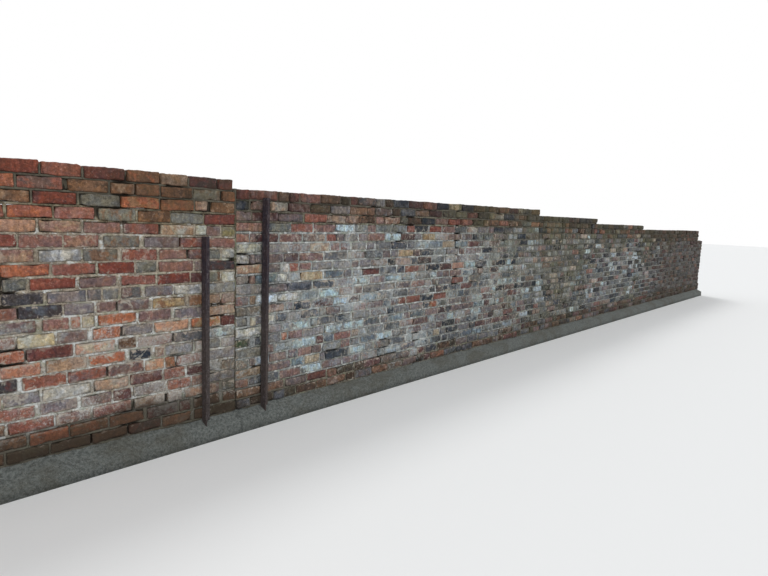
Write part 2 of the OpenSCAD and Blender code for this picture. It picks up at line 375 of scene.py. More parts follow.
def weather_and_shade(points):
    """Lime, moss, and soil with painted shade, from 0 to 1 at each point, from where it lies on the wall."""
    s = points[:, 0] - JOINT_X
    course = (points[:, 2] - FOOTING_TOP) / FAR_GAUGE
    under_top = course + np.searchsorted(BAY_ENDS, s)
    broad = smooth_noise(points, 1.3, 5)
    fine = smooth_noise(points, 4.0, 6)
    far = ramp(s, -0.1, 0.1)
    near = 1 - far
    mossy = ramp(s, 2.4, 3.4) * (1 - ramp(s, 10.5, 12.0))
    shaded = ramp(s, -1.05, -0.75) * near
    beside_joint = ramp(s, -0.40, -0.25) * (1 - ramp(s, 0.3, 0.5))
    low_by_joint = ramp(s, -0.60, -0.25) * (1 - ramp(s, 0.3, 0.7)) * (1 - ramp(course, 3.0, 7.5))
    lime = 0.34 + 0.18 * broad + 0.12 * fine + 0.02 * shaded - 0.14 * beside_joint
    lime += 0.32 * near * (1 - ramp(course, 8.5, 12.5)) * (0.8 + 0.2 * ramp(course, 4.0, 7.0))
    lime += 0.08 * far * (1 - ramp(s, 3.0, 5.0))
    lime -= 0.45 * ramp(under_top, 16.8, 18.6) + 0.40 * (1 - ramp(course, 0.8, 2.2)) * (1 - 0.6 * far)
    lime -= 0.20 * ramp(s, 9.0, 10.5) + 0.06 * ramp(s, 1.6, 2.8) + 0.18 * ramp(s, 3.4, 5.0)
    for patch_s, patch_course, radius in LIME_PATCHES:
        rise = (course - patch_course) * FAR_GAUGE
        lime += 0.40 * np.exp(-((s - patch_s) ** 2 + rise ** 2) / radius ** 2)
    moss = 0.05 + (0.22 + 0.16 * mossy) * broad + 0.32 * mossy * ramp(under_top, 12.0, 17.5)
    moss += 0.12 * ramp(s, 4.2, 5.6) * (1 - ramp(s, 10.5, 12.0)) + 0.18 * ramp(under_top, 18.0, 20.5)
    # Soil and painted shade: painted shade of ivy and plants on the near stretch from about 1 m before the
    # straight joint, and on the low courses beside that joint; darker in the top courses; soil at the foot of
    # the wall; darker past 2.6 m and again past 8.6 m along the far stretch, partly dirt and partly painted
    # shade of trees.
    soil_and_shade = 0.10 + 0.16 * shaded + 0.26 * low_by_joint + 0.42 * ramp(under_top, 18.0, 19.8)
    soil_and_shade += (0.95 - 0.70 * far) * (1 - ramp(course + 1.1 * broad, 0.9, 2.9))
    soil_and_shade += 0.40 * ramp(s, 8.6, 11.0) + 0.11 * ramp(s, 2.6, 6.0)
    return np.clip(np.stack([lime, moss, soil_and_shade], axis=1), 0, 1)


NO_STAIN = (0.0, 0.0, 0.0, 0.0)


class Shell:
    """Collects the faces of one piece and makes its mesh."""

    def __init__(self):
        self.points = []
        self.loops = []
        self.sizes = []
        self.smooth = []
        self.tones = []
        self.stains = []
        self.grain = []
        self.count = 0

    def add(self, points, faces, tone, stain=NO_STAIN, rim=0.0, seed=0.5, smear=0.0, smooth=True):
        """faces is a list of index arrays, each holding faces with one number of corners."""
        for group in faces:
            self.loops.append(group.ravel() + self.count)
            self.sizes.append(np.full(len(group), group.shape[1]))
            self.smooth.append(np.full(len(group), smooth and group.shape[1] == 4))
        n = len(points)
        self.points.append(points)
        self.tones.append(np.tile((*tone, 1.0), (n, 1)))
        self.stains.append(np.tile(stain, (n, 1)))
        self.grain.append(np.stack([np.broadcast_to(rim, n), np.full(n, seed), np.full(n, smear)], axis=1))
        self.count += n

    def make(self, name, material, slot, node):
        """Makes the mesh as a piece that stands in for one node."""
        points = np.concatenate(self.points)
        loops = np.concatenate(self.loops)
        sizes = np.concatenate(self.sizes)
        mesh = bpy.data.meshes.new(name)
        mesh.vertices.add(len(points))
        mesh.vertices.foreach_set("co", points.ravel())
        mesh.loops.add(len(loops))
        mesh.loops.foreach_set("vertex_index", loops.astype(np.int32))
        mesh.polygons.add(len(sizes))
        starts = np.concatenate([[0], np.cumsum(sizes)[:-1]])
        mesh.polygons.foreach_set("loop_start", starts.astype(np.int32))
        mesh.polygons.foreach_set("loop_total", sizes.astype(np.int32))
        mesh.polygons.foreach_set("use_smooth", np.concatenate(self.smooth))
        mesh.update(calc_edges=True)
        mesh.validate()
        for label, kind, values in (
            ("tone", "FLOAT_COLOR", np.concatenate(self.tones)),
            ("stain", "FLOAT_COLOR", np.concatenate(self.stains)),
            ("grain", "FLOAT_VECTOR", np.concatenate(self.grain)),
            ("weather_and_shade", "FLOAT_VECTOR", weather_and_shade(points)),
        ):
            layer = mesh.attributes.new(label, kind, "POINT")
            layer.data.foreach_set("color" if kind == "FLOAT_COLOR" else "vector", values.ravel())
        mesh.materials.append(material)
        piece = bpy.data.objects.new(name, mesh)
        bpy.context.scene.collection.objects.link(piece)
        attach(piece, "root")
        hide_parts(node)


@lru_cache(maxsize=None)
def leaf_faces(na, nc):
    """A brick that shows one face: a grid in front, a rim round it and plain hidden sides."""
    front = {(i, k): i * (nc + 1) + k for i in range(na + 1) for k in range(nc + 1)}
    edge = [(i, 0) for i in range(na)] + [(na, k) for k in range(nc)]
    edge += [(i, nc) for i in range(na, 0, -1)] + [(0, k) for k in range(nc, 0, -1)]
    rim = {spot: len(front) + n for n, spot in enumerate(edge)}
    corners = [(0, 0), (na, 0), (na, nc), (0, nc)]
    back = {spot: len(front) + len(edge) + n for n, spot in enumerate(corners)}
    quads = [
        (front[i, k], front[i + 1, k], front[i + 1, k + 1], front[i, k + 1])
        for i in range(na)
        for k in range(nc)
    ]
    for n, spot in enumerate(edge):
        after = edge[(n + 1) % len(edge)]
        quads.append((front[after], front[spot], rim[spot], rim[after]))
    quads.append(tuple(back[c] for c in reversed(corners)))
    by_size = {}
    for n, corner in enumerate(corners):
        after = corners[(n + 1) % 4]
        first = edge.index(corner)
        last = edge.index(after) or len(edge)
        run = [rim[edge[m % len(edge)]] for m in range(first, last + 1)]
        by_size.setdefault(len(run), []).append(tuple(reversed(run)) + (back[corner], back[after]))
    spots = [(i, 0, k) for i, k in front] + [(i, 1, k) for i, k in edge] + [(i, 2, k) for i, k in corners]
    return np.array(spots), [np.array(quads)] + [np.array(group) for group in by_size.values()]


@lru_cache(maxsize=None)
def box_faces(*cells):
    """A brick that shows on more sides: a grid all round, with its cells counted along each axis."""
    ids = {}
    quads = []
    for axis, across, along in ((1, 0, 2), (2, 0, 1), (0, 1, 2)):
        for end in (0, cells[axis]):
            outward = (end > 0) != (axis == 1)
            for i, k in np.ndindex(cells[across], cells[along]):
                quad = []
                for corner_i, corner_k in ((i, k), (i + 1, k), (i + 1, k + 1), (i, k + 1)):
                    spot = [end, end, end]
                    spot[across] = corner_i
                    spot[along] = corner_k
                    quad.append(ids.setdefault(tuple(spot), len(ids)))
                quads.append(quad if outward else quad[::-1])
    return np.array(list(ids)), [np.array(quads)]


def grid_line(length, radius, cells):
    """Grid lines along one side of a brick: one at each worn edge and the rest evenly between."""
    return np.concatenate([[0], np.linspace(radius, length - radius, cells + 1), [length]])


def turned(points, centre, angles):
    """Points turned about a centre by small angles."""
    about_z, about_x, about_y = (Matrix.Rotation(angle, 3, axis) for angle, axis in zip(angles, "ZXY"))
    rotation = np.array(about_z @ about_x @ about_y)
    return (points - centre) @ rotation.T + centre


def add_brick(shell, low, high, way, rng, colours, make, cells, all_sides):
    """One worn brick between two corners. way is -1 for the garden face and 1 for the back."""
    low = np.asarray(low)
    size = np.asarray(high) - low
    radius = min(make["radius"] * rng.uniform(0.7, 1.3), 0.3 * size.min())
    lines = [grid_line(length, radius, count) for length, count in zip(size, cells)]
    core_high = size - radius
    if all_sides:
        spots, faces = box_faces(*(len(line) - 1 for line in lines))
    else:
        lines[1] = np.array([0, radius, size[1]])
        core_high[1] = size[1]
        spots, faces = leaf_faces(len(lines[0]) - 1, len(lines[2]) - 1)
    local = np.stack([lines[axis][spots[:, axis]] for axis in range(3)], axis=1)
    core = np.clip(local, radius, core_high)
    out = local - core
    reach = np.linalg.norm(out, axis=1)
    unit = out / np.maximum(reach, TINY)[:, None]
    edge = (np.abs(out) > TINY).sum(axis=1) >= 2
    local = np.where(edge[:, None], core + unit * radius, local)
    rim = np.sort(np.minimum(local, size - local), axis=1)[:, 1]
    if way > 0:
        local[:, 1] = size[1] - local[:, 1]
        unit[:, 1] = -unit[:, 1]
        faces = [group[:, ::-1] for group in faces]
    place = local + low
    fine = smooth_noise(place, 48.0, make["seed"])
    broad = smooth_noise(place, 15.0, make["seed"] + 1)
    chip = make["chip"] * (np.maximum(broad - 0.24, 0) + 0.5 * np.maximum(fine - 0.45, 0))
    spall = make["spall_depth"] if rng.random() < make["spalls"] else 0.0
    lost = spall * (0.55 + 0.45 * broad) * (~edge)
    side = (reach > TINY) & (np.abs(out[:, 1]) < TINY)
    shift = np.where(edge, radius * 0.60 * fine + chip, 0.0015 * fine + make["dent"] * broad + lost)
    shift = np.where(side, 0.0035 * fine + 0.6 * chip, shift)
    place = place - unit * np.where(reach < TINY, 0, shift)[:, None]
    place = turned(place, low + size / 2, rng.normal(0, make["turn"], 3) * TURN_SHARES)
    place[:, 1] += way * rng.normal(make["proud"], make["stand"])
    tone, stain, seed = colours
    smear = np.clip(make["smear"] * rng.uniform(0.3, 1.7), 0, 1)
    shell.add(place, faces, tone, stain, rim, seed, smear)


def ring_faces(count, sides):
    """Faces of a closed tube through a number of rings: its sides, and its two ends."""
    start = np.arange(count - 1) * sides
    quads = []
    for side in range(sides):
        after = (side + 1) % sides
        corners = (start + side, start + sides + side, start + sides + after, start + after)
        quads.append(np.stack(corners, axis=1))
    around = np.arange(sides)
    return [np.concatenate(quads), np.array([around, count * sides - 1 - around])]


def add_tube(shell, face, way, half, depth, width, axis, section, seed):
    """A closed strip of mortar along points of one face, its depth behind it and its width along an axis."""
    rings = np.repeat(face[:, None, :], 4, axis=1)
    for row, (side, inset) in enumerate(section):
        rings[:, row, 1] = way * (half - depth - inset)
        rings[:, row, axis] += side * width
    if (way < 0) == (axis == 2):
        rings = rings[:, ::-1]
    faces = ring_faces(len(face), 4)
    # The depth goes in the grain attribute, and the mortar shader darkens deep mortar with it as painted
    # shade.
    shell.add(rings.reshape(-1, 3), faces, MORTAR_TONE, rim=np.repeat(depth, 4), seed=seed)


def mortar_depth(points, make):
    """How far behind the brick faces the mortar lies."""
    broad = smooth_noise(points, 9.0, 21)
    fine = smooth_noise(points, 36.0, 22)
    gap = np.maximum(smooth_noise(points, 6.0, 23) - make["gap_from"], 0) * make["gap"]
    return make["depth"] + make["depth_noise"] * (0.6 * broad + 0.6 * fine) + gap


def add_strip(shell, along, half, way, make, half_width, axis, extra, seed):
    """A mortar strip on one face. axis is the one its width lies in, extra what it lies deeper."""
    face = along.copy()
    face[:, 1] = way * half
    depth = mortar_depth(face, make) + extra
    width = half_width + make["spread"] * (1 + 0.8 * smooth_noise(face, 24.0, 24))
    add_tube(shell, face, way, half, depth, width, axis, JOINT_SECTION, seed)


def add_bed(shell, s0, s1, course, gauge, half, way, make, step):
    """The mortar strip in the bed under a course, on one face."""
    s = np.linspace(s0, s1, max(2, int((s1 - s0) / step) + 1))
    along = np.stack([s + JOINT_X, np.zeros(len(s)), bed_z(s, course, gauge)], axis=1)
    add_strip(shell, along, half, way, make, make["bed"] * BED_REACH, 2, 0.0, course * 0.37 % 1)


def add_perpend(shell, s, joint, z0, z1, half, way, make, rng):
    """The mortar in the upright joint between two bricks, on one face."""
    z = np.linspace(z0 - UPRIGHT_LAP, z1 + UPRIGHT_LAP, UPRIGHT_RINGS)
    along = np.stack([np.full(UPRIGHT_RINGS, s + JOINT_X), np.zeros(UPRIGHT_RINGS), z], axis=1)
    extra = OPEN_DEPTH if rng.random() < make["open"] else 0.0
    add_strip(shell, along, half, way, make, joint / 2, 0, extra, rng.random())


def add_block(shell, low, high):
    """A plain block of mortar in the heart of the wall."""
    spots, faces = box_faces(1, 1, 1)
    low = np.asarray(low, dtype=float)
    shell.add(low + spots * (np.asarray(high) - low), faces, MORTAR_TONE, smooth=False)


MORTAR_TONE = srgb(168, 162, 146)

# How the bricks and joints are worn: lengths in metres, the rest as shares
NEAR_MAKE = dict(
    radius=0.0070, chip=0.026, dent=0.0020, turn=0.010, proud=-0.001, stand=0.0018, smear=0.75,
    spalls=0.08, spall_depth=0.007, seed=31, depth=0.0055, depth_noise=0.0050, gap=0.07, gap_from=0.42,
    spread=0.0035, open=0.12, wide=0.32, bed=0.0135, upright=(0.010, 0.017), wide_upright=(0.019, 0.036),
)
UPPER_MAKE = dict(
    NEAR_MAKE, radius=0.0080, chip=0.020, turn=0.010, stand=0.003, smear=0.25, depth=0.0085,
    depth_noise=0.006, spread=0.0010, open=0.38, wide=0.10, bed=0.012,
)
FAR_MAKE = dict(
    NEAR_MAKE, radius=0.008, chip=0.024, dent=0.0032, turn=0.008, proud=-0.002, stand=0.0030, smear=0.95,
    spalls=0.12, spall_depth=0.009, seed=51, depth=0.0060, depth_noise=0.006, gap=0.08, gap_from=0.38,
    spread=0.0030, open=0.14, wide=0.22, bed=0.013, upright=(0.009, 0.015), wide_upright=(0.018, 0.026),
)
WORN_MAKE = dict(
    FAR_MAKE, radius=0.012, chip=0.035, turn=0.012, stand=0.004, smear=0.35, depth=0.010,
    depth_noise=0.008, open=0.4, bed=0.012,
)


def far_courses(bay):
    """Courses from the footing to a bay's top."""
    return COURSES - bay


def far_body_top(bay):
    """The course under which a bay has its toothed body."""
    return far_courses(bay) - 1 - FAR_UPPER


def toothed(s, course, way=-1):
    """Where a toothed end stands in a course: it moves by a quarter brick in every other one."""
    return s + way * TOOTH * (course % 2)


def near_spans(course):
    """Node name, start and end of each span of one course of the near stretch."""
    if course < PLINTH_COURSES:
        return [("near_plinth", -NEAR_LEN, -JOINT_HALF)]
    if course == COURSES - 1:
        return [("near_top_course", -NEAR_LEN, NEAR_TOP_END)]
    if course >= COURSES - 1 - NEAR_UPPER:
        return [("near_upper_courses", -NEAR_LEN, -JOINT_HALF)]
    first = toothed(-NEAR_LEN + PITCH, course)
    last = -JOINT_HALF - PITCH
    return [
        ("near_end_quoin", -NEAR_LEN, first),
        ("near_wall_body", first, last),
        ("near_joint_quoin", last, -JOINT_HALF),
    ]


def far_spans(course):
    """Node name, start and end of each span of one course of the far stretch."""
    if course < PLINTH_COURSES:
        return [("far_plinth", JOINT_HALF, FAR_LEN)]
    spans = []
    for bay, bay_end in enumerate(BAY_ENDS):
        start = JOINT_HALF if bay == 0 else BAY_ENDS[bay - 1]
        last = bay == len(BAY_ENDS) - 1
        if course >= far_courses(bay):
            continue
        if course >= far_body_top(bay):
            kind = "top_course" if course == far_courses(bay) - 1 else "upper_courses"
            spans.append((f"bay_{bay + 1}_{kind}", start, BROKEN_END if last else bay_end))
            continue
        if bay == 0:
            quoin_end = toothed(start + PITCH - TOOTH, course, 1)
            spans.append(("far_joint_quoin", start, quoin_end))
            start = quoin_end
        else:
            start = toothed(start, course)
        if last:
            quoin_start = toothed(FAR_LEN - PITCH, course)
            spans.append((f"bay_{bay + 1}_body", start, quoin_start))
            spans.append(("far_end_quoin", quoin_start, FAR_LEN))
        else:
            shared = course < far_body_top(bay + 1)
            spans.append((f"bay_{bay + 1}_body", start, toothed(bay_end, course) if shared else bay_end))
    return spans


def lay_freely(rng, start, end, header_share, below):
    """Upright joints between start and end, few of them over the joints below."""
    half = PITCH / 2
    units = max(1, round((end - start) / half))
    unit = (end - start) / units
    joints = []
    done = 0
    while done < units:
        left = units - done
        choice = 1 if left == 1 or rng.random() < header_share else 2
        if left > 2 and len(below):
            meets = start + (done + choice) * unit
            if np.min(np.abs(below - meets)) < 0.3 * unit:
                choice = 3 - choice
        done += choice
        if done < units:
            joints.append(start + done * unit + rng.normal(0, 0.004))
    return joints


def lay_course(rng, name, course, start, end, below):
    """Upright joints of one course between start and end."""
    middle = (start + end) / 2
    if name == "near_joint_quoin":
        return [middle] if course % 2 == 0 else []
    if name == "far_joint_quoin":
        return [start + PITCH / 2] if course % 2 == 0 else []
    if name == "near_end_quoin":
        return [] if course % 2 == 0 else [start + PITCH / 2]
    if name == "far_end_quoin":
        return [] if course % 2 == 0 else [end - PITCH / 2]
    near = name.startswith("near")
    read = [mm / 1000 for mm in (NEAR_BOND if near else FAR_BOND).get(course, ())]
    read = [s for s in read if start + LEAST_BRICK < s < end - LEAST_BRICK]
    share = NEAR_HEADERS if near else FAR_HEADERS
    if not read:
        return lay_freely(rng, start, end, share, below)
    if near:
        return lay_freely(rng, start, min(read), share, below) + sorted(read)
    return sorted(read) + lay_freely(rng, max(read), end, share, below)


def palette_for(name, course, s, rng):
    """The palette for a brick, with soft limits between the parts of the far stretch."""
    if name in ("near_plinth", "far_plinth"):
        return name
    if name in ("near_upper_courses", "near_top_course"):
        return "near_upper"
    if name in ("near_joint_quoin", "far_joint_quoin"):
        return "quoin"
    if name.startswith("near"):
        return "near_low" if course + rng.normal(0, 1.0) < 10.5 else "near_body"
    spread = s + rng.normal(0, 0.35)
    if "upper" in name or "top" in name:
        if spread < 2.2 or spread > 11.8:
            return "far_upper_red"
        return "far_upper_moss" if spread < 4.7 else "far_upper_green"
    if spread < 1.7:
        return "bay_first"
    if spread < 4.6:
        return "bay_second"
    return "bay_green" if spread < 9.4 else "bay_last"


def dull(tone, share, tint):
    """A tone brought part of the way towards a tinted grey of the same lightness."""
    tone = np.array(tone)
    return tone + share * (tone @ GREY_WEIGHTS * np.array(tint) - tone)


def pick_colours(name, course, s0, s1, rng):
    """Tone, stain and seed of a brick: a landmark's tone, or one from the palette of its part of the wall."""
    part = palette_for(name, course, (s0 + s1) / 2, rng)
    palette = PALETTES[part]
    weights = np.array(list(palette.values()), dtype=float)
    key = list(palette)[rng.choice(len(palette), p=weights / weights.sum())]
    stands_out = False
    for landmark, places in LANDMARKS.items():
        if any(row == course and s0 <= mm / 1000 < s1 for row, mm in places):
            key = landmark
            stands_out = True
    colour, stains = TONES[key]
    dulled, tint, lightness, spread = next(wear for start, wear in WEAR.items() if part.startswith(start))
    # Darker past 1.4 m and again past 8 m along the far stretch: partly darker bricks and dirt, partly
    # painted shade of trees.
    lightness -= 0.29 * ramp(s0, 1.4, 2.4) - 0.05 * ramp(s0, 4.4, 5.2) + 0.18 * ramp(s0, 8.0, 10.0)
    spread += 0.38 * ramp(s0, 2.5, 5.0)
    if stands_out:
        dulled *= 0.4
        spread = 0.05
    shade = rng.uniform(1 - spread, 1 + spread) * lightness
    tone = dull(srgb(*colour), dulled, tint) * shade * rng.uniform(0.97, 1.03, 3)
    stains = stains.split()
    stain = TONES[stains[rng.integers(len(stains))]][0]
    stain = dull(srgb(*stain), dulled, tint) * rng.uniform(0.9, 1.1)
    least_cover = 0.9 if key in PATCHY and not stands_out else 0.3
    stain = (*np.clip(stain, 0, 1), rng.uniform(least_cover, 1.0))
    seed = rng.random()
    if stands_out:
        seed = 0.1 * seed - (1.0 if key in BARE else 0.0)
    return tuple(np.clip(tone, 0, 1)), stain, seed


def detail_cells(s, way, width):
    """Grid cells along and up a brick's face: finest where the camera is near."""
    if way < 0 and -1.9 < s < 1.6:
        cells, rows = 12, 4
    elif way < 0 and -4.3 < s < 5.0:
        cells, rows = 6, 2
    else:
        cells, rows = 3, 1
    return max(2, round(cells * width / PITCH)), rows


def lay_stretch(near, shells, seed):
    """Lays every course of a stretch and fills the brick and mortar shells by node."""
    rng = np.random.default_rng(seed)
    gauge = NEAR_GAUGE if near else FAR_GAUGE
    sound, worn = (NEAR_MAKE, UPPER_MAKE) if near else (FAR_MAKE, WORN_MAKE)
    below = np.array([])
    for course in range(COURSES):
        laid = []
        for name, start, end in (near_spans if near else far_spans)(course):
            top = "top_course" in name
            make = worn if top or "upper" in name else sound
            half = PLINTH_HALF if "plinth" in name else WALL_HALF
            joints = lay_course(rng, name, course, start, end, below)
            laid += joints
            widths = []
            for _ in joints:
                kind = "wide_upright" if rng.random() < make["wide"] else "upright"
                widths.append(rng.uniform(*make[kind]))
            ends = [(start, 0.0), *zip(joints, widths), (end, 0.0)]
            bricks, mortar = shells[name]
            for left, right in zip(ends[:-1], ends[1:]):
                lay_brick(rng, bricks, name, course, gauge, half, make, left, right)
            for way, step in ((-1, FINE_STEP if start < FINE_END else FRONT_STEP), (1, BACK_STEP)):
                add_bed(mortar, start, end, course, gauge, half, way, make, step)
                for s, joint in zip(joints, widths):
                    low, high = bed_z(s, np.array([course, course + 1]), gauge)
                    high -= TOP_JOINT_DROP if top else 0.0
                    add_perpend(mortar, s, joint, low, high, half, way, make, rng)
            core_low = float(bed_z(start, course, gauge)) - CORE_LAP
            core_high = float(np.min(bed_z(np.array([start, end]), course + 1, gauge)))
            core_high += -CORE_DROP if top else CORE_LAP
            low_corner = (start + JOINT_X + CORE_INSET, CORE_DEPTH - half, core_low)
            high_corner = (end + JOINT_X - CORE_INSET, half - CORE_DEPTH, core_high)
            add_block(mortar, low_corner, high_corner)
        below = np.array(laid)


def lay_brick(rng, shell, name, course, gauge, half, make, left, right):
    """A header that goes through the wall, or the two stretchers that lie back to back."""
    s0, s1 = left[0] + left[1] / 2, right[0] - right[1] / 2
    middle = (s0 + s1) / 2
    top = "top_course" in name
    bed = make["bed"] * rng.uniform(0.60, 1.45, 2)
    low, high = bed_z(middle, np.array([course, course + 1]), gauge)
    z0, z1 = low + bed[0] / 2, high - (0.001 if top else bed[1] / 2)
    far_end = BROKEN_END if name.startswith("bay_4") else FAR_LEN
    wall_end = s0 < END_MARGIN - NEAR_LEN or s1 > far_end - END_MARGIN
    step_end = top and (left[1] == 0 or right[1] == 0)
    is_header = s1 - s0 < 0.7 * PITCH
    leaves = ((-1, -half, half),) if is_header else ((-1, -half, -LEAF_GAP / 2), (1, LEAF_GAP / 2, half))
    for way, y0, y1 in leaves:
        colours = pick_colours(name, course, left[0], right[0], rng)
        cells, rows = detail_cells(middle, way, s1 - s0)
        all_sides = is_header or top or wall_end or step_end
        corners = (s0 + JOINT_X, y0, z0), (s1 + JOINT_X, y1, z1)
        add_brick(shell, *corners, way, rng, colours, make, (cells, 2, rows), all_sides)


# How strongly bump shows, how shiny the surfaces are and how far apart two bricks lie in the noise
BUMP_STRENGTH = 0.9
SPECULAR = 0.25
SEED_SHIFT = (91.0, 57.0, 23.0)


class Nodes:
    """Builds one material's shader nodes."""

    def __init__(self, name):
        self.material = bpy.data.materials.new(name)
        self.material.use_nodes = True
        self.tree = self.material.node_tree
        self.tree.nodes.clear()
        output = self.tree.nodes.new("ShaderNodeOutputMaterial")
        self.shader = self.tree.nodes.new("ShaderNodeBsdfPrincipled")
        self.link(self.shader.outputs[0], output.inputs["Surface"])

    def link(self, source, target):
        self.tree.links.new(source, target)

    def put(self, socket, value):
        """Links a socket's value, or sets a plain one."""
        if isinstance(value, bpy.types.NodeSocket):
            self.link(value, socket)
        elif isinstance(value, tuple) and socket.type == "RGBA":
            socket.default_value = (*value, 1.0)
        else:
            socket.default_value = value

    def new(self, kind, values, output=0, **settings):
        """Adds a node with its settings and inputs, and gives one of its outputs."""
        node = self.tree.nodes.new(f"ShaderNode{kind}")
        for setting, value in settings.items():
            setattr(node, setting, value)
        for key, value in values.items():
            self.put(node.inputs[key], value)
        return node.outputs[output]

    def attribute(self, name):
        node = self.tree.nodes.new("ShaderNodeAttribute")
        node.attribute_name = name
        return node.outputs

    def split(self, vector):
        node = self.tree.nodes.new("ShaderNodeSeparateXYZ")
        self.put(node.inputs[0], vector)
        return node.outputs

    def math(self, operation, *values):
        return self.new("Math", dict(enumerate(values)), operation=operation)

    def place(self):
        return self.new("TexCoord", {}, "Object")

    def scaled(self, place, factors):
        return self.new("Mapping", {"Vector": place, "Scale": factors})

    def own(self, place, seed):
        """A place that lies elsewhere in the noise for each brick."""
        shifts = [self.math("MULTIPLY", seed, factor) for factor in SEED_SHIFT]
        return self.new("VectorMath", {0: place, 1: self.new("CombineXYZ", dict(enumerate(shifts)))})

    def noise(self, place, scale, detail, rough, warp=0.0):
        values = {"Vector": place, "Scale": scale, "Detail": detail, "Roughness": rough, "Distortion": warp}
        return self.new("TexNoise", values)

    def cells(self, place, scale):
        return self.new("TexVoronoi", {"Vector": place, "Scale": scale}, "Distance")

    def step(self, value, low, high, to_low=0.0, to_high=1.0):
        """Goes smoothly from one number to another as a value passes from low to high."""
        values = {"Value": value, "From Min": low, "From Max": high, "To Min": to_low, "To Max": to_high}
        return self.new("MapRange", values, interpolation_type="SMOOTHSTEP")

    def mix(self, factor, a, b, blend="MIX"):
        return self.new("Mix", {0: factor, 6: a, 7: b}, 2, data_type="RGBA", blend_type=blend)

    def times(self, colour, factor):
        return self.mix(1.0, colour, factor, "MULTIPLY")

    def over(self, colour, top, value, low, high, share=1.0):
        """Lays a top colour over another, up to a share, as a value passes from low to high."""
        return self.mix(self.step(value, low, high, 0.0, share), colour, top)

    def swing(self, base, value, gain):
        """Adds to a base what a value from 0 to 1 differs from its middle, times a gain."""
        return self.math("ADD", base, self.math("MULTIPLY_ADD", value, gain, -gain / 2))

    def bump(self, height, distance):
        values = {"Height": height, "Strength": BUMP_STRENGTH, "Distance": distance}
        self.link(self.new("Bump", values), self.shader.inputs["Normal"])

    def finish(self, colour, roughness):
        self.put(self.shader.inputs["Base Color"], colour)
        self.put(self.shader.inputs["Roughness"], roughness)
        self.put(self.shader.inputs["Specular IOR Level"], SPECULAR)
        return self.material


NEAR_LIME = srgb(186, 188, 184)
FAR_LIME = srgb(156, 175, 183)
PINK_LIME = srgb(168, 164, 158)
CRISP_LIME = srgb(200, 203, 200)
PALE_TRACE = srgb(188, 182, 168)
MOSS = srgb(94, 91, 62)
SOIL_AND_SHADE = srgb(58, 48, 38)
SMEAR = srgb(172, 160, 146)
PALE_SPECK = srgb(206, 199, 188)
DARK_PIT = srgb(42, 35, 32)
PALE_MORTAR = srgb(218, 221, 218)
GREEN_MORTAR = srgb(150, 156, 132)
CRUMB = srgb(84, 74, 62)
# Darker mortar where moss and soil lie: grime, and painted shade where the soil channel carries it
GRIME_AND_SHADE = srgb(92, 88, 78)
# Painted shade for mortar set deep in its joint
PAINTED_JOINT_SHADE = srgb(44, 38, 32)
CONCRETE_DARK = srgb(76, 79, 77)
CONCRETE_LIGHT = srgb(120, 124, 120)
CONCRETE_DAMP = srgb(80, 77, 66)
CONCRETE_STONE = srgb(156, 150, 138)
CONCRETE_SAND = srgb(58, 54, 48)
IRON_DARK = srgb(56, 51, 60)
IRON_WARM = srgb(66, 55, 58)
IRON_RUST = srgb(87, 79, 74)
IRON_FLAKE = srgb(34, 31, 36)
IRON_RUN = srgb(90, 66, 56)
IRON_SCUFF = srgb(118, 110, 113)
# Factors that a colour is multiplied by
COOL = (0.94, 0.98, 1.07)
WARM = (1.06, 1.01, 0.92)
BLEACHED = (1.9, 1.9, 1.9)
DRIP_DARK = (0.62, 0.63, 0.58)
DRIP_LIGHT = (1.34, 1.33, 1.30)

# Each mortar's light and shaded tone, its lime's colour and share, and the share of its pale patches
MORTARS = {
    "near_lime": (srgb(186, 175, 157), srgb(124, 112, 97), NEAR_LIME, 0.55, 0.85),
    "far_lime": (srgb(168, 171, 168), srgb(120, 120, 118), FAR_LIME, 0.55, 0.80),
    "near_brown": (srgb(164, 153, 129), srgb(92, 80, 63), NEAR_LIME, 0.45, 0.42),
    "far_brown": (srgb(134, 128, 112), srgb(86, 79, 68), FAR_LIME, 0.40, 0.20),
    "joint": (srgb(96, 88, 70), srgb(58, 52, 42), NEAR_LIME, 0.10, 0.10),
}
MORTAR_SEED = 0.78


